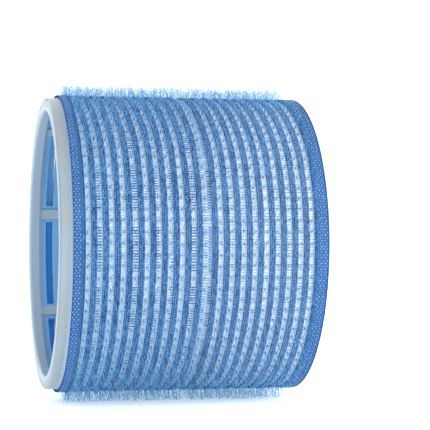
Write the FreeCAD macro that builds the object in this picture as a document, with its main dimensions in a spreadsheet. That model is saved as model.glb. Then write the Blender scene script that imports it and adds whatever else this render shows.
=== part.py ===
"""Jumbo self-grip hair roller: a slotted plastic core under a sleeve of woven hook tape.

Frame: the roller's axis lies along X and +Z is up, with the origin on the axis at mid-length.
The bare rim is at -X, because the sleeve sits against the +X end. Angles are about X, from +Y.
"""

import FreeCAD, Part
import math
import os
import Sketcher

DIMENSIONS = {
    # core tube
    "core_length": 62.6,
    "core_outer_radius": 35.65,
    "core_inner_radius": 34.05,
    "lip_radius": 32.5,
    "lip_length": 2.4,
    "lip_taper": 0.8,
    "rim_rounding": 0.6,
    "core_turn": 13.3,
    # slots through the wall
    "slot_width": 1.6,
    "slot_angle": 17.0,
    "slots_per_turn": 16,
    "slot_rows": 11,
    "slot_first": 8.68,
    "slot_pitch": 4.35,
    "end_slot_width": 1.8,
    "end_slot_angle": 37.6,
    "end_slots_per_turn": 8,
    "end_slot_inset": 5.3,
    # ribs along the inside of the wall
    "rib_count": 8,
    "rib_width": 2.6,
    "rib_height": 0.6,
    # sleeve
    "sleeve_start": 2.9,
    "sleeve_end": 62.5,
    "sleeve_inner_radius": 35.95,
    "sleeve_outer_radius": 36.45,
    "filament_radius": 0.125,
    "filament_count": 344,
    # hook rows: ten, then a wide one, then nine more
    "row_width": 1.25,
    "row_pitch": 2.7,
    "first_row": 6.33,
    "rows_before_wide": 10,
    "wide_row": 33.75,
    "wide_row_width": 2.16,
    "row_after_wide": 36.88,
    "rows_after_wide": 9,
    "hook_base_radius": 36.2,
    "hook_tip_radius": 39.0,
    "hooks_per_row": 88,
    "hook_root_width": 0.9,
    "hook_tip_width": 0.45,
}

ALONG_X = FreeCAD.Rotation(FreeCAD.Vector(0, 1, 0), 90)
X_AXIS = FreeCAD.Vector(1, 0, 0)
LEFT_END = "-dim.core_length / 2"
CUT_CLEARANCE = 0.4

doc = FreeCAD.newDocument("hair_roller")
sub_parts = []


def make_sheet():
    sheet = doc.addObject("Spreadsheet::Sheet", "dim")
    for row, (name, value) in enumerate(DIMENSIONS.items(), start=1):
        sheet.set(f"A{row}", name)
        sheet.set(f"B{row}", str(value))
        sheet.setAlias(f"B{row}", name)
    doc.recompute()
    return sheet


def size(name):
    return float(getattr(sheet, name))


def keep(piece, label):
    piece.Label = label
    sub_parts.append(piece)
    return piece


# Core tube


def origin_feature(body, role):
    return next(item for item in body.Origin.OriginFeatures if item.Role == role)


def axial_sketch(body, name, turn=None):
    """A sketch whose X runs along the roller and whose Y runs outwards, turned about the axis."""
    sketch = body.newObject("Sketcher::SketchObject", name)
    sketch.AttachmentSupport = [(origin_feature(body, "XY_Plane"), "")]
    sketch.MapMode = "FlatFace"
    if turn:
        sketch.AttachmentOffset = FreeCAD.Placement(
            FreeCAD.Vector(), FreeCAD.Rotation(X_AXIS, 1)
        )
        sketch.setExpression("AttachmentOffset.Rotation.Angle", turn)
    return sketch


def outline(sketch, corners):
    """Closes straight sides through corners, each a pair of expressions for its X and Y."""
    start = [FreeCAD.Vector(i, 10 + i * i, 0) for i in range(len(corners))]
    for i in range(len(corners)):
        sketch.addGeometry(Part.LineSegment(start[i], start[(i + 1) % len(corners)]))
    for i in range(len(corners)):
        sketch.addConstraint(
            Sketcher.Constraint("Coincident", i, 2, (i + 1) % len(corners), 1)
        )
    for i, corner in enumerate(corners):
        for kind, expression in zip(("DistanceX", "DistanceY"), corner):
            index = sketch.addConstraint(Sketcher.Constraint(kind, -1, 1, i, 1, 1.0))
            sketch.setExpression(f"Constraints[{index}]", expression)


def make_wall(body):
    """The tube, with a thicker lip at each end whose inner side tapers into the wall."""
    half = "dim.core_length / 2"
    lip = f"({half} - dim.lip_length)"
    taper = f"({half} - dim.lip_length - dim.lip_taper)"
    sketch = axial_sketch(body, "wall_outline")
    outline(
        sketch,
        [
            (f"-{half}", "dim.lip_radius"),
            (f"-{half}", "dim.core_outer_radius"),
            (half, "dim.core_outer_radius"),
            (half, "dim.lip_radius"),
            (lip, "dim.lip_radius"),
            (taper, "dim.core_inner_radius"),
            (f"-{taper}", "dim.core_inner_radius"),
            (f"-{lip}", "dim.lip_radius"),
        ],
    )
    wall = body.newObject("PartDesign::Revolution", "wall")
    wall.Profile = sketch
    wall.ReferenceAxis = (sketch, ["H_Axis"])
    wall.Angle = 360
    doc.recompute()
    return wall


def round_rims(body, wall):
    """Rounds the four circles at the tube's two ends."""
    end = size("core_length") / 2
    edges = [
        f"Edge{i}"
        for i, edge in enumerate(wall.Shape.Edges, start=1)
        if hasattr(edge.Curve, "Radius")
        and abs(abs(edge.CenterOfMass.x) - end) < 1e-6
        and abs(edge.BoundBox.XLength) < 1e-6
    ]
    rims = body.newObject("PartDesign::Fillet", "rims")
    rims.Base = (wall, edges)
    rims.setExpression("Radius", "dim.rim_rounding")
    doc.recompute()
    return rims


def make_ribs(body):
    """Low ribs along the inside of the wall, from lip to lip."""
    sketch = axial_sketch(body, "rib_outline")
    half = "(dim.core_length / 2 - dim.lip_length)"
    top = "(dim.core_inner_radius - dim.rib_height)"
    middle = "(dim.core_inner_radius + dim.core_outer_radius) / 2"
    outline(sketch, [(f"-{half}", top), (f"-{half}", middle), (half, middle), (half, top)])
    rib = body.newObject("PartDesign::Pad", "rib")
    rib.Profile = sketch
    rib.Midplane = True
    rib.setExpression("Length", "dim.rib_width")
    return turned(body, [rib], "ribs", "dim.rib_count")


def turned(body, features, name, count):
    """Repeats features around the axis."""
    pattern = body.newObject("PartDesign::PolarPattern", name)
    pattern.Originals = features
    pattern.Axis = (origin_feature(body, "X_Axis"), [""])
    pattern.Angle = 360
    pattern.setExpression("Occurrences", count)
    body.Tip = pattern
    doc.recompute()
    return pattern


def slot(body, name, centre, width, angle, turn):
    """One slot: a stretch of the wall taken out along part of a circle."""
    sketch = axial_sketch(body, f"{name}_outline", turn)
    low = f"{LEFT_END} + {centre} - {width} / 2"
    high = f"{LEFT_END} + {centre} + {width} / 2"
    inside = f"dim.core_inner_radius - {CUT_CLEARANCE}"
    outside = f"dim.core_outer_radius + {CUT_CLEARANCE}"
    outline(sketch, [(low, inside), (low, outside), (high, outside), (high, inside)])
    groove = body.newObject("PartDesign::Groove", name)
    groove.Profile = sketch
    groove.ReferenceAxis = (sketch, ["H_Axis"])
    groove.Midplane = True
    groove.setExpression("Angle", angle)
    return groove


def repeated(body, feature, name, turns, rows, span):
    """Repeats a slot around the axis and along it."""
    around = body.newObject("PartDesign::PolarPattern", f"{name}_around")
    around.Axis = (origin_feature(body, "X_Axis"), [""])
    around.Angle = 360
    around.setExpression("Occurrences", turns)
    along = body.newObject("PartDesign::LinearPattern", f"{name}_along")
    along.Direction = (origin_feature(body, "X_Axis"), [""])
    along.setExpression("Length", span)
    along.setExpression("Occurrences", rows)
    pattern = body.newObject("PartDesign::MultiTransform", name)
    pattern.Originals = [feature]
    pattern.Transformations = [around, along]
    body.Tip = pattern
    doc.recompute()
    return pattern


def make_core_tube():
    body = doc.addObject("PartDesign::Body", "core_tube")
    wall = make_wall(body)
    round_rims(body, wall)
    solid_volume = make_ribs(body).Shape.Volume
    first = slot(
        body,
        "slot",
        "dim.slot_first",
        "dim.slot_width",
        "dim.slot_angle",
        "180 / dim.slots_per_turn",
    )
    slots = repeated(
        body,
        first,
        "slots",
        "dim.slots_per_turn",
        "dim.slot_rows",
        "dim.slot_pitch * (dim.slot_rows - 1)",
    )
    slotted_volume = slots.Shape.Volume
    end_slot = slot(
        body,
        "end_slot",
        "dim.end_slot_inset",
        "dim.end_slot_width",
        "dim.end_slot_angle",
        "180 / dim.end_slots_per_turn",
    )
    end_slots = repeated(
        body,
        end_slot,
        "end_slots",
        "dim.end_slots_per_turn",
        "2",
        "dim.core_length - 2 * dim.end_slot_inset",
    )
    assert end_slots.Shape.Volume < slotted_volume < solid_volume, "the slots cut nothing"
    body.Placement = FreeCAD.Placement(FreeCAD.Vector(), FreeCAD.Rotation(X_AXIS, 1))
    body.setExpression("Placement.Rotation.Angle", "dim.core_turn")
    return keep(body, "core_tube")


# Sleeve


def cylinder(name, start, length, radius):
    """A cylinder along X; its start is measured from the roller's left end."""
    piece = doc.addObject("Part::Cylinder", name)
    piece.Placement = FreeCAD.Placement(FreeCAD.Vector(), ALONG_X)
    piece.setExpression("Placement.Base.x", f"{LEFT_END} + {start}")
    piece.setExpression("Height", length)
    piece.setExpression("Radius", radius)
    return piece


def make_ring(label, start, end):
    """One band of the sleeve, as thick as the cloth."""
    length = f"({end}) - ({start})"
    outside = cylinder(f"{label}_outside", start, length, "dim.sleeve_outer_radius")
    inside = cylinder(f"{label}_inside", start, length, "dim.sleeve_inner_radius")
    ring = doc.addObject("Part::Cut", label)
    ring.Base = outside
    ring.Tool = inside
    return keep(ring, label)


def make_filaments():
    """The stiff cross threads, side by side around the core under the bands."""
    radius = size("filament_radius")
    length = size("sleeve_end") - size("sleeve_start")
    start = size("sleeve_start") - size("core_length") / 2
    circle = (size("core_outer_radius") + size("sleeve_inner_radius")) / 2
    count = int(size("filament_count"))
    rods = []
    for i in range(count):
        angle = 2 * math.pi * i / count
        foot = FreeCAD.Vector(start, circle * math.cos(angle), circle * math.sin(angle))
        rods.append(Part.makeCylinder(radius, length, foot, X_AXIS))
    filaments = doc.addObject("Part::Feature", "weft_filaments")
    filaments.Shape = Part.makeCompound(rods)
    filaments.Placement = FreeCAD.Placement()
    return keep(filaments, "weft_filaments")


def hook_outline():
    """The ring that a hook row is knitted into, with its hooks standing out of it, end on."""
    base = size("hook_base_radius")
    tip = size("hook_tip_radius")
    root_half = size("hook_root_width") / base / 2
    tip_half = size("hook_tip_width") / tip / 2
    count = int(size("hooks_per_row"))
    points = []
    for i in range(count):
        middle = 2 * math.pi * i / count
        for radius, turn in (
            (base, -root_half),
            (tip, -tip_half),
            (tip, tip_half),
            (base, root_half),
        ):
            angle = middle + turn
            points.append(
                FreeCAD.Vector(0, radius * math.cos(angle), radius * math.sin(angle))
            )
    teeth = Part.makePolygon(points + points[:1])
    hole = Part.makeCircle(size("sleeve_inner_radius"), FreeCAD.Vector(), X_AXIS)
    drawing = doc.addObject("Part::Feature", "hook_outline")
    drawing.Shape = Part.makeCompound([teeth, Part.Wire([hole])])
    return drawing


def make_hook_row(label, drawing, centre, width):
    row = doc.addObject("Part::Extrusion", label)
    row.Base = drawing
    row.DirMode = "Custom"
    row.Dir = X_AXIS
    row.Solid = True
    row.FaceMakerClass = "Part::FaceMakerBullseye"
    row.setExpression("LengthFwd", width)
    row.setExpression("Placement.Base.x", f"{LEFT_END} + {centre} - {width} / 2")
    return keep(row, label)


def hook_row_places():
    """The centre and width of each hook row, from left to right, as expressions."""
    before = int(size("rows_before_wide"))
    after = int(size("rows_after_wide"))
    rows = [
        (f"dim.first_row + {i} * dim.row_pitch", "dim.row_width") for i in range(before)
    ]
    rows.append(("dim.wide_row", "dim.wide_row_width"))
    rows += [
        (f"dim.row_after_wide + {i} * dim.row_pitch", "dim.row_width")
        for i in range(after)
    ]
    return rows


def make_sleeve():
    """The hook rows, and the bands and selvedges that fill the sleeve between them."""
    rows = hook_row_places()
    drawing = hook_outline()
    for number, (centre, width) in enumerate(rows, start=1):
        make_hook_row(f"hook_row_{number:02d}", drawing, centre, width)
    starts = [f"{centre} - {width} / 2" for centre, width in rows]
    ends = [f"{centre} + {width} / 2" for centre, width in rows]
    make_ring("selvedge_left", "dim.sleeve_start", starts[0])
    for number in range(1, len(rows)):
        make_ring(f"woven_band_{number:02d}", ends[number - 1], starts[number])
    make_ring("selvedge_right", ends[-1], "dim.sleeve_end")


def check_document():
    doc.recompute()
    broken = [item.Name for item in doc.Objects if {"Invalid", "Error"} & set(item.State)]
    assert not broken, f"failed objects: {broken}"
    for piece in sub_parts:
        shape = piece.Shape
        assert not shape.isNull() and shape.isValid(), f"{piece.Label} has no valid shape"
        assert shape.Solids and shape.Volume > 0, f"{piece.Label} holds no solid"


def write_parts():
    os.makedirs("parts", exist_ok=True)
    for piece in sub_parts:
        piece.Shape.exportStep(f"parts/{piece.Label}.step")
        print(piece.Label, len(piece.Shape.Solids), round(piece.Shape.Volume, 1), "mm3")


sheet = make_sheet()
make_core_tube()
make_filaments()
make_sleeve()
check_document()
write_parts()
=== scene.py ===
"""Looks for the hair roller: a moulded core under a knitted sleeve with rows of hooks.

Lengths are in millimetres until a mesh or a material is made. A place on the roller is
(s, turn, height): s runs along X from the middle of the roller, turn is the angle about the
axis from the front (-Y), positive upwards, and height is the distance from the axis.
"""

import math

import bpy
import numpy as np
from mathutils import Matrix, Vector


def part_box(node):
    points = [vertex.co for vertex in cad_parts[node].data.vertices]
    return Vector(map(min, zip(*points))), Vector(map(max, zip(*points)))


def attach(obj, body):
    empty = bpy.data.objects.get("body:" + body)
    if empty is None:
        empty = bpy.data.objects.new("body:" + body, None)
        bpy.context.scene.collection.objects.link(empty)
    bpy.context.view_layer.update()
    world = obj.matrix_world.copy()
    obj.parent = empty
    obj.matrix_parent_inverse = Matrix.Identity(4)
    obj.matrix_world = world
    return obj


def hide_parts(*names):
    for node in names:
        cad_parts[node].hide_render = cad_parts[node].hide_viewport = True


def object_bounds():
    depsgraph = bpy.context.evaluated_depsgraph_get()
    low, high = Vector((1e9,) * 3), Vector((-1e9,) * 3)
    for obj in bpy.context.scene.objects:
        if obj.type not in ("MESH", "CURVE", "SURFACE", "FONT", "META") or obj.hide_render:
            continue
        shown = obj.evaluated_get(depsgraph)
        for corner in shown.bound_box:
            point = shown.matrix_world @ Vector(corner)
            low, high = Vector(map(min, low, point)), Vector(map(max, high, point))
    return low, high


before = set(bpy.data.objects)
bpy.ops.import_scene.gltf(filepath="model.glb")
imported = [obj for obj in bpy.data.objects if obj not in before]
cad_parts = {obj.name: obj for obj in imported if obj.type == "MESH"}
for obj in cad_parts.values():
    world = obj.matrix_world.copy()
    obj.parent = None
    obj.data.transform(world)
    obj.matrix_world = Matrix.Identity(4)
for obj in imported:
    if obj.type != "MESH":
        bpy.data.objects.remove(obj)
CAD_BOX = [list(corner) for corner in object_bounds()]

MM = 0.001
HOOK_ROWS = 20
WIDE_ROW = 10  # the eleventh row, counted from 0
BANDS = HOOK_ROWS - 1
rng = np.random.default_rng(63)


def span(node):
    """A node's lowest and highest X, in millimetres."""
    low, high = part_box(node)
    return low[0] / MM, high[0] / MM


# The CAD's places
ROWS = [span(f"hook_row_{i:02d}") for i in range(1, HOOK_ROWS + 1)]
BAND_SPANS = [span(f"woven_band_{i:02d}") for i in range(1, BANDS + 1)]
SELVEDGES = {side: span(f"selvedge_{side}") for side in ("left", "right")}
SLEEVE_START, SLEEVE_END = SELVEDGES["left"][0], SELVEDGES["right"][1]
CORE_END = span("core_tube")[1]
CORE_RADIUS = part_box("core_tube")[1][1] / MM
CORE_WALL = 1.6
CLOTH_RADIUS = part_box("woven_band_01")[1][2] / MM
HOOK_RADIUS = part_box("hook_row_01")[1][2] / MM

# How the sleeve sits askew, with stretches of the turn in degrees from the front
PULL_TOP, PULL_BOTTOM = 1.05, 0.55
TOP_PULLS, BOTTOM_PULLS, BACK_EASES = (32, 75), (20, 80), (115, 170)
HELD_AT_ENDS = 5

# Cross threads: flat monofilaments, wider to the right of where RODS_WIDEN
WEFTS = 344
COURSE = 2 * math.pi / WEFTS
WEFT_HEIGHT = CORE_RADIUS + 0.12
ROD_POINTS = 32
ROD_SIDES = 6
ROD_KNOTS = 8
ROD_WANDER = 0.06  # in courses
ROD_END_INSET = 0.1
ROD_HALF_WIDTH, ROD_WIDER_BY = 0.20, 0.11
ROD_HALF_THICKNESS = 0.05
RODS_WIDEN = (4, 9)
ROD_WAVE, ROD_WAVE_TURN = 0.02, 2.3  # up and down, and radians of wave to a millimetre
ROD_TONES = (-0.2, 0.25)

# Strips of cloth behind the bands and selvedges
GROUND_HEIGHT = CORE_RADIUS + 0.33
STRIP_ROUNDS = 300
STRIP_MARGIN = 0.06
STRIP_TONE = 0.25
EDGE_TAPE = (CORE_RADIUS + 0.005, CORE_RADIUS + 0.03)
EDGE_TAPE_PAST_ROW = 0.65

# Stitches
STITCH_HEIGHT = CLOTH_RADIUS - 0.14
STITCH_YARN = (0.085, 0.07)
STITCH_SIDES = 4
COLUMNS = (-0.33, 0.0, 0.33)  # across a band, in band widths
COLUMN_HALF_WIDTH = 0.075
UNEVEN_WIDTH, UNEVEN_PLACE, UNEVEN_HEIGHT = 0.10, 0.045, 0.015
STITCH_TONES = (-0.9, 0.9)

# A chain stitch seen from above, as (across, along, height): up one leg, over and down the other.
CHAIN_STITCH = (
    (-0.03, -0.12, -0.24),
    (-0.14, 0.16, -0.04),
    (-0.19, 0.50, 0.08),
    (-0.14, 0.86, 0.02),
    (0.00, 1.02, -0.12),
    (0.14, 0.86, 0.02),
    (0.19, 0.50, 0.08),
    (0.14, 0.16, -0.04),
    (0.03, -0.12, -0.24),
)
CHAIN_HALF_WIDTH = 0.19

# Selvedges
WARP_PITCH = 0.41
WARP_OVERLAP = 0.52  # half a yarn's width, in pitches
WARP_HALF_THICKNESS = 0.09
WARP_SIDES = 6
WARP_STEPS = 4  # points to each course
WARP_WAVE = 0.035
WARP_TONES = (-0.2, 0.2)
# The outermost warps are darker: painted shade at the sleeve's cut edges.
OUTER_WARP_SHADE = -1.6
DOT_POINTS = 5
DOT_SIDES = 6
DOT_YARN = (0.15, 0.08)
DOT_REACH = (0.11, 0.21)
DOT_TOP, DOT_DROP = CLOTH_RADIUS - 0.05, 0.13
DOT_WANDER, DOT_SHIFT = 0.06, 0.04  # round in courses, and along
DOT_TONES = {"left": (-0.3, 0.2), "right": (-1.2, -0.2)}

# Hooks
COURSES_PER_HOOK = 4
HOOKS_PER_ROW = WEFTS // COURSES_PER_HOOK
STRANDS = 13
STRAND_RADIUS = 0.052
STRAND_SIDES = 3
STRAND_TONES = (-0.15, 0.35)
LEG_POINTS, BEND_POINTS = 4, 8
ROOT_INSET = 0.45
TALLEST, SHORTER_BY = 0.985, 0.4
BEND_RADIUS, BEND_ANGLE = (0.25, 0.55), (2.0, 3.6)
FACING = 0.6  # radians either side of the two ways round
LEAN_ALONG, LEAN_ROUND = (0.04, 0.28), (0, 0.42)  # mean and spread, per millimetre of height
BOW = 0.08 / 3
UNEVEN_ROOT = 0.06


# Meshes


def smooth_step(value, low, high):
    """0 below low and 1 above high, with an easy curve between."""
    t = np.clip((value - low) / (high - low), 0, 1)
    return t * t * (3 - 2 * t)


def skew(s, turn):
    """How far the sleeve sits askew: pulled left over the top and the bottom of the core."""
    angle = np.degrees(turn)
    top = smooth_step(angle, *TOP_PULLS) * (1 - smooth_step(angle, *BACK_EASES))
    bottom = smooth_step(-angle, *BOTTOM_PULLS) * (1 - smooth_step(-angle, *BACK_EASES))
    free = smooth_step(s, SLEEVE_START, SLEEVE_START + HELD_AT_ENDS)
    free = free * (1 - smooth_step(s, CORE_END - HELD_AT_ENDS, CORE_END))
    return -(PULL_TOP * top + PULL_BOTTOM * bottom) * free


def place(s, turn, height):
    """Turns places on the sleeve into points in millimetres."""
    s, turn, height = np.broadcast_arrays(s, turn, height)
    wrapped = (turn + math.pi) % (2 * math.pi) - math.pi
    s = s + skew(s, wrapped)
    return np.stack([s, -height * np.cos(turn), height * np.sin(turn)], -1)


def outward(points):
    """The unit vector away from the axis at each point."""
    out = points * np.array([0, 1, 1])
    return out / np.linalg.norm(out, axis=-1, keepdims=True)


def tubes(paths, width, thickness, sides, thick_along, closed=False):
    """Yarns of oval section along many paths at once, as (vertices, groups of faces).

    width and thickness are half of the section's, and thick_along is its thin direction.
    """
    count, length, _ = paths.shape
    if closed:
        tangent = np.roll(paths, -1, 1) - np.roll(paths, 1, 1)
    else:
        tangent = np.gradient(paths, axis=1)
    tangent /= np.linalg.norm(tangent, axis=-1, keepdims=True)
    normal = thick_along - tangent * (thick_along * tangent).sum(-1, keepdims=True)
    normal /= np.linalg.norm(normal, axis=-1, keepdims=True)
    across = np.cross(normal, tangent)
    angle = 2 * math.pi * np.arange(sides) / sides
    width = np.broadcast_to(width, (count, length))[:, :, None, None]
    thickness = np.broadcast_to(thickness, (count, length))[:, :, None, None]
    ring = (
        across[:, :, None] * width * np.cos(angle)[None, None, :, None]
        + normal[:, :, None] * thickness * np.sin(angle)[None, None, :, None]
    )
    verts = (paths[:, :, None] + ring).reshape(-1, 3)

    base = np.arange(count)[:, None, None] * length * sides
    steps = length if closed else length - 1
    along = np.arange(steps)[None, :, None]
    side = np.arange(sides)[None, None, :]
    here = base + along * sides + side
    here_next = base + along * sides + (side + 1) % sides
    ahead = base + (along + 1) % length * sides + side
    ahead_next = base + (along + 1) % length * sides + (side + 1) % sides
    quads = np.stack([here, here_next, ahead_next, ahead], -1).reshape(-1, 4)
    caps = []
    if not closed:
        first = (base[:, 0] + np.arange(sides)[::-1]).reshape(-1, sides)
        last = (base[:, 0] + (length - 1) * sides + np.arange(sides)).reshape(-1, sides)
        caps = [first, last]
    return verts, [quads, *caps]


def strip(low, high, inner, outer):
    """A closed ring of cloth with a square section."""
    turn = np.linspace(0, 2 * math.pi, STRIP_ROUNDS, endpoint=False)
    corners = ((low, inner), (low, outer), (high, outer), (high, inner))
    verts = np.stack([place(s, turn, r) for s, r in corners], 1).reshape(-1, 3)
    i = np.arange(STRIP_ROUNDS)[:, None]
    j = np.arange(4)[None, :]
    after = (i + 1) % STRIP_ROUNDS
    quads = np.stack(
        [i * 4 + j, i * 4 + (j + 1) % 4, after * 4 + (j + 1) % 4, after * 4 + j], -1
    )
    return verts, [quads.reshape(-1, 4)]


def build(name, pieces, materials):
    """One object from (vertices, groups of faces, tone, material index) pieces."""
    verts, loops, totals, tones, indices = [], [], [], [], []
    offset = 0
    for points, groups, tone, index in pieces:
        verts.append(points)
        tones.append(np.broadcast_to(tone, len(points)))
        for group in groups:
            loops.append((group + offset).ravel())
            totals.append(np.full(len(group), group.shape[1]))
            indices.append(np.full(len(group), index))
        offset += len(points)
    verts = np.concatenate(verts) * MM
    loops, totals = np.concatenate(loops), np.concatenate(totals)
    mesh = bpy.data.meshes.new(name)
    mesh.vertices.add(len(verts))
    mesh.vertices.foreach_set("co", verts.ravel())
    mesh.loops.add(len(loops))
    mesh.loops.foreach_set("vertex_index", loops.astype(np.int32))
    mesh.polygons.add(len(totals))
    starts = np.concatenate([[0], np.cumsum(totals)[:-1]]).astype(np.int32)
    mesh.polygons.foreach_set("loop_start", starts)
    mesh.polygons.foreach_set("material_index", np.concatenate(indices).astype(np.int32))
    mesh.polygons.foreach_set("use_smooth", np.ones(len(totals), bool))
    tone = mesh.attributes.new("tone", "FLOAT", "POINT")
    tone.data.foreach_set("value", np.concatenate(tones).astype(np.float32))
    for material in materials:
        mesh.materials.append(material)
    mesh.update(calc_edges=True)
    mesh.validate()
    piece = bpy.data.objects.new(name, mesh)
    bpy.context.collection.objects.link(piece)
    return piece


# Materials


def rgb(red, green, blue):
    return (red, green, blue, 1.0)


# Painted light: the sleeve's inner face, low and high up, coloured as light coming through the
# sleeve would make it.
BACKLIT_LOW, BACKLIT_HIGH = rgb(0.08, 0.40, 0.90), rgb(0.34, 0.68, 0.93)


class Nodes:
    """A material's node tree, with short calls for the nodes used here."""

    def __init__(self, name):
        self.material = bpy.data.materials.new(name)
        self.material.use_nodes = True
        self.tree = self.material.node_tree
        self.shader = self.tree.nodes["Principled BSDF"]

    def node(self, kind, **inputs):
        made = self.tree.nodes.new(kind)
        for key, value in inputs.items():
            self.feed(made.inputs[key], value)
        return made

    def feed(self, socket, value):
        if isinstance(value, bpy.types.NodeSocket):
            self.tree.links.new(value, socket)
        else:
            socket.default_value = value

    def math(self, operation, a, b=0.0, clamp=False):
        made = self.tree.nodes.new("ShaderNodeMath")
        made.operation, made.use_clamp = operation, clamp
        self.feed(made.inputs[0], a)
        self.feed(made.inputs[1], b)
        return made.outputs[0]

    def remap(self, value, low, high, to_low=0.0, to_high=1.0):
        made = self.tree.nodes.new("ShaderNodeMapRange")
        for socket, given in zip(made.inputs, (value, low, high, to_low, to_high)):
            self.feed(socket, given)
        return made.outputs[0]

    def noise(self, scale, detail=2.0):
        made = self.node("ShaderNodeTexNoise", Vector=self.coords())
        made.inputs["Scale"].default_value = scale
        made.inputs["Detail"].default_value = detail
        return made.outputs["Fac"]

    def mix(self, factor, a, b):
        made = self.tree.nodes.new("ShaderNodeMix")
        made.data_type = "RGBA"
        self.feed(made.inputs[0], factor)
        self.feed(made.inputs[6], a)
        self.feed(made.inputs[7], b)
        return made.outputs[2]

    def tone(self):
        """How much paler or darker each yarn is, as build() stores it."""
        made = self.tree.nodes.new("ShaderNodeAttribute")
        made.attribute_name = "tone"
        return made.outputs["Fac"]

    def coords(self):
        return self.node("ShaderNodeTexCoord").outputs["Object"]

    def place(self):
        """X and the distance from the axis, in metres."""
        xyz = self.node("ShaderNodeSeparateXYZ", Vector=self.coords())
        squares = [self.math("POWER", xyz.outputs[axis], 2.0) for axis in ("Y", "Z")]
        distance = self.math("SQRT", self.math("ADD", *squares))
        return xyz.outputs["X"], distance

    def backlit_inside(self):
        """Painted light on the sleeve seen from inside the core: bright blue where light comes
        through it, paler high up, where more comes through.
        """
        xyz = self.node("ShaderNodeSeparateXYZ", Vector=self.coords())
        # painted light: paler towards the top
        high = self.remap(xyz.outputs["Z"], 2 * MM, 22 * MM)
        return self.mix(high, BACKLIT_LOW, BACKLIT_HIGH)

    def bump(self, height, strength, distance):
        made = self.node("ShaderNodeBump", Height=height)
        made.inputs["Strength"].default_value = strength
        made.inputs["Distance"].default_value = distance
        self.tree.links.new(made.outputs[0], self.shader.inputs["Normal"])

    def set(self, **values):
        for key, value in values.items():
            self.feed(self.shader.inputs[key.replace("_", " ")], value)
        return self.material


def yarn_material(name, deep, pale, painted_right_light=0.0):
    """Multifilament yarn: paler on its crowns and darker down between them, as painted highlight
    and painted shade; greyer to the right by the amount given, as painted light from the right;
    backlit blue on its inner face as painted light.
    """
    m = Nodes(name)
    x, distance = m.place()
    # Painted highlight and painted shade: paler on the crowns, darker down between the stitches, by
    # distance from the axis.
    crown = m.remap(distance, (GROUND_HEIGHT + 0.05) * MM, (CLOTH_RADIUS + 0.02) * MM)
    speckle = m.noise(2600, 3.0)
    patch = m.noise(160)
    amount = m.math("MULTIPLY", crown, m.remap(speckle, 0.3, 0.7, 0.55, 1.25))
    amount = m.math("ADD", amount, m.math("MULTIPLY", m.tone(), 0.4))
    amount = m.math("ADD", amount, m.remap(patch, 0.35, 0.65, -0.1, 0.1), clamp=True)
    # Painted light from the right: greyer towards the right end.
    right = m.remap(x, -10 * MM, 20 * MM, 0.0, painted_right_light)
    colour = m.mix(right, m.mix(amount, deep, pale), rgb(0.42, 0.50, 0.56))
    # Painted light: the inner face, seen from inside the core, takes the backlit blue.
    behind = m.remap(distance, (CORE_RADIUS + 0.08) * MM, (CORE_RADIUS + 0.02) * MM)
    m.bump(speckle, 0.5, 0.06 * MM)
    return m.set(
        Base_Color=m.mix(behind, colour, m.backlit_inside()),
        Roughness=0.66,
        Specular_IOR_Level=0.12,
        Sheen_Weight=0.02,
        Sheen_Roughness=0.4,
    )


def weft_material():
    """Pale monofilament: paler still to the right as painted light from the right, darker in the
    wide row, blue behind as painted light coming through the sleeve.
    """
    m = Nodes("weft_filament")
    x, distance = m.place()
    streak = m.remap(m.noise(420), 0.3, 0.7, -0.15, 0.35)
    amount = m.math("ADD", streak, m.tone(), clamp=True)
    # Painted light from the right: paler towards the right end.
    right = m.remap(x, -28 * MM, -8 * MM)
    colour = m.mix(right, rgb(0.47, 0.635, 0.81), rgb(0.585, 0.70, 0.84))
    colour = m.mix(amount, colour, rgb(0.44, 0.60, 0.78))
    low, high = ROWS[WIDE_ROW]
    off_middle = m.math("ABSOLUTE", m.math("SUBTRACT", x, (low + high) / 2 * MM))
    wide_row = m.remap(off_middle, (high - low) * 0.6 * MM, (high - low) * 0.5 * MM)
    colour = m.mix(wide_row, colour, rgb(0.29, 0.41, 0.57))
    # Painted light: the inner face, seen from inside the core, takes the backlit blue.
    behind = m.remap(distance, (CORE_RADIUS + 0.028) * MM, (CORE_RADIUS + 0.01) * MM)
    m.bump(m.noise(3000), 0.1, 0.02 * MM)
    return m.set(Base_Color=m.mix(behind, colour, m.backlit_inside()), Roughness=0.65)


def hook_material():
    """Clear blue monofilament: each strand is faint, darker at its root as painted shade, and paler
    over its bend as painted light coming through it.
    """
    m = Nodes("hook_filament")
    _, distance = m.place()
    # Painted shade low down near the root and painted light over the bend, by distance from the
    # axis.
    low = m.remap(distance, (CLOTH_RADIUS - 0.45) * MM, (CLOTH_RADIUS + 0.1) * MM)
    top = m.remap(distance, (CLOTH_RADIUS + 0.1) * MM, (CLOTH_RADIUS + 1.5) * MM)
    tint = m.math("ADD", m.remap(m.noise(420), 0.3, 0.7, -0.2, 0.2), m.tone())
    amount = m.math("ADD", top, m.math("MULTIPLY", top, tint), clamp=True)
    shaded_stem = m.mix(low, rgb(0.10, 0.27, 0.52), rgb(0.06, 0.33, 0.70))
    m.bump(m.noise(3000), 0.15, 0.02 * MM)
    return m.set(
        Base_Color=m.mix(amount, shaded_stem, rgb(0.18, 0.52, 0.84)),
        Roughness=0.45,
        Alpha=m.remap(top, 0.0, 1.0, 0.22, 0.25),
        IOR=1.45,
    )


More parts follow.
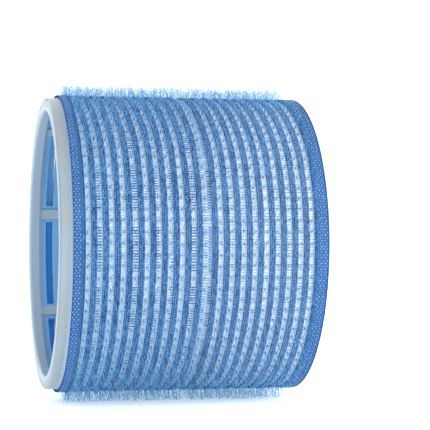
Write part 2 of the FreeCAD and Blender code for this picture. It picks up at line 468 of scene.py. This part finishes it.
def core_material():
    """Milky moulded plastic: white at the rims, blue inside as painted light of the sleeve showing
    through the wall, darker deeper in as painted shade, with painted light on the lips, ribs and
    the skin under the sleeve.
    """
    m = Nodes("core_plastic")
    x, distance = m.place()
    depth = m.math("ABSOLUTE", x)
    # Painted light: the inner faces take the sleeve's blue as if seen through the wall.
    inside = m.remap(distance, (CORE_RADIUS - 0.05) * MM, (CORE_RADIUS - 0.35) * MM)
    off_rim = m.remap(depth, (CORE_END - 0.3) * MM, (CORE_END - 3.3) * MM)
    cloud = m.remap(m.noise(90, 3.0), 0.35, 0.65, -0.12, 0.12)
    amount = m.math("ADD", m.math("MULTIPLY", inside, off_rim), cloud, clamp=True)
    # Painted shade: darker deeper inside the tube.
    deep = m.remap(depth, (CORE_END - 5.3) * MM, (CORE_END - 15.3) * MM)
    blue = m.mix(deep, rgb(0.19, 0.41, 0.65), rgb(0.05, 0.18, 0.40))
    skin = m.mix(amount, rgb(0.24, 0.29, 0.315), blue)

    bore = CORE_RADIUS - CORE_WALL
    # Painted light: the lips and ribs inside the bore are painted paler where they lie in shade.
    lit_lips_and_ribs = m.remap(distance, (bore - 0.15) * MM, (bore - 0.55) * MM)
    skin = m.mix(lit_lips_and_ribs, skin, rgb(0.34, 0.42, 0.48))
    # Painted light: the skin under the sleeve and a band of rim at the sleeve's edge are painted
    # pale where the cross threads and the edge shade them.
    lit_under_sleeve = m.math(
        "MULTIPLY",
        m.remap(x, (SLEEVE_START - 0.8) * MM, (SLEEVE_START + 0.4) * MM),
        m.remap(distance, (CORE_RADIUS - 0.15) * MM, (CORE_RADIUS - 0.05) * MM),
    )
    m.bump(m.noise(900, 3.0), 0.12, 0.1 * MM)
    return m.set(
        Base_Color=m.mix(lit_under_sleeve, skin, rgb(0.62, 0.79, 0.93)),
        Roughness=0.38,
        Subsurface_Weight=0.25,
        Subsurface_Radius=(2 * MM, 3 * MM, 4 * MM),
        Subsurface_Scale=1.0,
    )


# The last value sets how much the bands grey to the right: painted light from the right.
YARN = yarn_material("woven_yarn", rgb(0.013, 0.062, 0.20), rgb(0.125, 0.30, 0.58), 0.11)
EDGE_YARN = yarn_material("selvedge_yarn", rgb(0.018, 0.074, 0.22), rgb(0.049, 0.141, 0.315))
YARN_DOT = yarn_material("selvedge_dots", rgb(0.12, 0.27, 0.57), rgb(0.23, 0.41, 0.72))
WEFT = weft_material()
HOOK = hook_material()
CORE = core_material()


# Sleeve


def weft_rods():
    """The cross threads: flat monofilaments from end to end, which wander a little."""
    low, high = SLEEVE_START + ROD_END_INSET, SLEEVE_END - ROD_END_INSET
    s = np.linspace(low, high, ROD_POINTS)
    knots = rng.normal(0, ROD_WANDER, (WEFTS, ROD_KNOTS))
    wander = np.array([np.interp(s, np.linspace(low, high, ROD_KNOTS), k) for k in knots])
    turn = (np.arange(WEFTS)[:, None] + wander) * COURSE
    height = WEFT_HEIGHT + ROD_WAVE * np.sin(s * ROD_WAVE_TURN + np.arange(WEFTS)[:, None])
    points = place(s, turn, height)
    half_width = ROD_HALF_WIDTH + ROD_WIDER_BY * smooth_step(s, *RODS_WIDEN)
    verts, faces = tubes(points, half_width, ROD_HALF_THICKNESS, ROD_SIDES, outward(points))
    tone = np.repeat(rng.uniform(*ROD_TONES, WEFTS), ROD_POINTS * ROD_SIDES)
    return verts, faces, tone, 0


def make_ground():
    """The cloth under the stitches: cross threads, strips behind the bands, and an edge tape."""
    pieces = [weft_rods()]
    for low, high in [*BAND_SPANS, *SELVEDGES.values()]:
        low, high = low + STRIP_MARGIN, high - STRIP_MARGIN
        verts, faces = strip(low, high, CORE_RADIUS + 0.01, GROUND_HEIGHT)
        pieces.append((verts, faces, STRIP_TONE, 1))
    verts, faces = strip(SLEEVE_START, ROWS[0][0] + EDGE_TAPE_PAST_ROW, *EDGE_TAPE)
    pieces.append((verts, faces, 0.0, 0))
    return build("sleeve_ground", pieces, [WEFT, YARN])


def chain_column(s, courses, half_width):
    """A column of chain stitches round the core at s."""
    shape = np.array(CHAIN_STITCH)
    count = len(courses)
    jitter = rng.normal(0, 1, (count, 3))
    stretch = half_width / CHAIN_HALF_WIDTH * (1 + UNEVEN_WIDTH * jitter[:, :1])
    across = s + shape[:, 0] * stretch + UNEVEN_PLACE * jitter[:, 1:2]
    turn = (courses[:, None] + shape[:, 1]) * COURSE
    height = STITCH_HEIGHT + shape[:, 2] + UNEVEN_HEIGHT * jitter[:, 2:3]
    points = place(across, turn, height)
    verts, faces = tubes(points, *STITCH_YARN, STITCH_SIDES, outward(points))
    tone = np.repeat(rng.uniform(*STITCH_TONES, count), len(shape) * STITCH_SIDES)
    return verts, faces, tone, 0


def make_band(number, low, high):
    """One dark band: three columns of chain stitches."""
    middle, width = (low + high) / 2, high - low
    courses = np.arange(WEFTS, dtype=float)
    pieces = [
        chain_column(middle + width * aside, courses + rng.uniform(0, 1), width * COLUMN_HALF_WIDTH)
        for aside in COLUMNS
    ]
    return build(f"band_stitches_{number:02d}", pieces, [YARN])


def dots(columns, tones):
    """Where a cross thread passes over the selvedge's warps: short pale bars, staggered."""
    paths = []
    step = np.linspace(-1, 1, DOT_POINTS)
    for column, s in enumerate(columns):
        courses = np.arange(column % 2, WEFTS, 2)
        each = (len(courses), 1)
        turn = (courses[:, None] + rng.normal(0, DOT_WANDER, each)) * COURSE
        reach = rng.uniform(*DOT_REACH, each)
        along = s + reach * step + rng.normal(0, DOT_SHIFT, each)
        paths.append(place(along, turn, DOT_TOP - DOT_DROP * step**2))
    points = np.concatenate(paths)
    verts, faces = tubes(points, *DOT_YARN, DOT_SIDES, outward(points))
    tone = np.repeat(rng.uniform(*tones, len(points)), DOT_POINTS * DOT_SIDES)
    return verts, faces, tone, 1


def warp(s, half_width, height, tone=None):
    """One yarn round the core, rising and dipping over the cross threads."""
    step = np.arange(WEFTS * WARP_STEPS)
    wave = WARP_WAVE * np.cos(step * math.pi / WARP_STEPS)
    points = place(s, step * COURSE / WARP_STEPS, height + wave)[None]
    verts, faces = tubes(
        points, half_width, WARP_HALF_THICKNESS, WARP_SIDES, outward(points), closed=True
    )
    return verts, faces, rng.uniform(*WARP_TONES) if tone is None else tone, 0


def make_selvedge(side):
    """A closely woven edge: warps side by side, the outermost two dark as painted shade at the cut
    edges, and pale dots.
    """
    low, high = SELVEDGES[side]
    count = round((high - low) / WARP_PITCH)
    pitch = (high - low) / count
    middles = [low + pitch * (i + 0.5) for i in range(count)]
    half_width = pitch * WARP_OVERLAP
    pieces = [warp(s, half_width, STITCH_HEIGHT + 0.02) for s in middles[1:-1]]
    # The outermost two warps: painted shade at the cut edges.
    for s in (middles[0], middles[-1]):
        pieces.append(warp(s, half_width, STITCH_HEIGHT + 0.01, OUTER_WARP_SHADE))
    if side == "left":
        columns = [s + pitch * 0.3 for s in middles[:4]]
    else:
        columns = middles[2:-1]
    pieces.append(dots(columns, DOT_TONES[side]))
    return build(f"selvedge_weave_{side}", pieces, [EDGE_YARN, YARN_DOT])


# Hooks


def hook_paths(root):
    """One strand of each tuft in a row: it stands up, leans, and ends in a small bend."""
    count = HOOKS_PER_ROW
    each = (count, 1)
    uneven = rng.normal(0, UNEVEN_ROOT, count)
    turn = (np.arange(count) + uneven)[:, None] * 2 * math.pi / count
    shorter = SHORTER_BY * rng.uniform(0, 1, each) ** 2
    tall = (HOOK_RADIUS - WEFT_HEIGHT) * (TALLEST - shorter)
    bend = rng.uniform(*BEND_RADIUS, each)
    leg = np.linspace(0, 1, LEG_POINTS, endpoint=False) * (tall - bend)
    arc = np.linspace(0, 1, BEND_POINTS) * rng.uniform(*BEND_ANGLE, each)
    over = np.concatenate([0 * leg, bend * (1 - np.cos(arc))], 1)
    height = np.concatenate([leg, tall - bend + bend * np.sin(arc)], 1)

    facing = rng.normal(0, FACING, each) + math.pi * rng.integers(0, 2, each)
    lean, bow = rng.normal(*LEAN_ALONG, each), rng.normal(0, BOW, each)
    along = lean * height + bow * height**2 + over * np.sin(facing)
    round_it = rng.normal(*LEAN_ROUND, each) * height + over * np.cos(facing)
    along = along + root + rng.normal(0, UNEVEN_ROOT, each)
    return place(along, turn + round_it / HOOK_RADIUS, WEFT_HEIGHT + height)


def make_hooks(number, low):
    """A hook row: tufts of fine strands, one tuft to every four courses."""
    pieces = []
    flat_side = np.array([1.0, 0.2, 0])
    for _ in range(STRANDS):
        points = hook_paths(low + ROOT_INSET)
        verts, faces = tubes(points, STRAND_RADIUS, STRAND_RADIUS, STRAND_SIDES, flat_side)
        tone = np.repeat(rng.uniform(*STRAND_TONES, len(points)), points.shape[1] * STRAND_SIDES)
        pieces.append((verts, faces, tone, 0))
    return build(f"hooks_{number:02d}", pieces, [HOOK])


def dress_core():
    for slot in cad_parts["core_tube"].material_slots:
        slot.material = CORE


def stands_for(piece, node):
    """Fixes a piece to the roller in place of a CAD node."""
    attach(piece, "root")
    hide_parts(node)
    return piece


def make_sleeve():
    ground = stands_for(make_ground(), "weft_filaments")
    for number, (low, high) in enumerate(BAND_SPANS, start=1):
        band = make_band(number, low, high)
        stands_for(band, f"woven_band_{number:02d}")
    for side in SELVEDGES:
        stands_for(make_selvedge(side), f"selvedge_{side}")
    for number, (low, _) in enumerate(ROWS, start=1):
        hooks = make_hooks(number, low)
        stands_for(hooks, f"hook_row_{number:02d}")


# Studio, in metres


def make_stage():
    """A pale floor that curves up into a backdrop."""
    m = Nodes("studio_paper")
    grain = m.remap(m.noise(60), 0.3, 0.7, 0.93, 0.95)
    tint = m.node("ShaderNodeCombineColor", Red=grain, Green=grain, Blue=grain)
    m.set(Base_Color=tint.outputs[0], Emission_Color=rgb(0.80, 0.95, 1), Emission_Strength=0.52)
    m.set(Roughness=0.9)

    half_width, front, flat_end, curve, top = 4.0, -3.0, 1.2, 0.8, 3.0
    profile = [(front, 0.0), (flat_end, 0.0)]
    for angle in np.linspace(0, math.pi / 2, 17)[1:]:
        profile.append((flat_end + curve * math.sin(angle), curve * (1 - math.cos(angle))))
    profile.append((flat_end + curve, top))
    floor_z = CAD_BOX[0][2]
    verts = [(x, y, floor_z + z) for y, z in profile for x in (-half_width, half_width)]
    faces = [(2 * i, 2 * i + 1, 2 * i + 3, 2 * i + 2) for i in range(len(profile) - 1)]
    mesh = bpy.data.meshes.new("studio_floor")
    mesh.from_pydata(verts, [], faces)
    mesh.polygons.foreach_set("use_smooth", [True] * len(faces))
    mesh.materials.append(m.material)
    floor = bpy.data.objects.new("studio_floor", mesh)
    bpy.context.collection.objects.link(floor)


def area_light(name, place_m, size, power, tint=(1, 1, 1)):
    """A round soft light, aimed at the middle of the roller."""
    data = bpy.data.lights.new(name, "AREA")
    data.shape = "DISK"
    data.size, data.energy, data.color = size, power, tint
    lamp = bpy.data.objects.new(name, data)
    lamp.location = place_m
    lamp.rotation_euler = (-Vector(place_m)).to_track_quat("-Z", "Y").to_euler()
    bpy.context.collection.objects.link(lamp)


def light_studio():
    world = bpy.data.worlds.new("studio_world")
    world.use_nodes = True
    background = world.node_tree.nodes["Background"]
    background.inputs["Color"].default_value = rgb(0.965, 0.985, 1.07)
    background.inputs["Strength"].default_value = 1.04
    bpy.context.scene.world = world
    area_light("key", (0.36, -0.42, 0.14), 0.35, 2.9, (1.0, 0.91, 0.82))
    area_light("back", (-0.35, 0.55, 0.30), 0.5, 0.7)


def aim_camera():
    """Level with the roller, to the left of it, so that the bare rim and the inside show."""
    data = bpy.data.cameras.new("camera")
    data.sensor_width, data.lens = 36.0, 130.6
    camera = bpy.data.objects.new("camera", data)
    camera.location = (-0.0728, -0.3835, 0.0003)
    camera.rotation_euler = (math.radians(91.0), 0.0, math.radians(-12.47))
    bpy.context.collection.objects.link(camera)
    bpy.context.scene.camera = camera


bpy.context.scene.view_settings.view_transform = "Standard"
aim_camera()
dress_core()
make_sleeve()
make_stage()
light_studio()
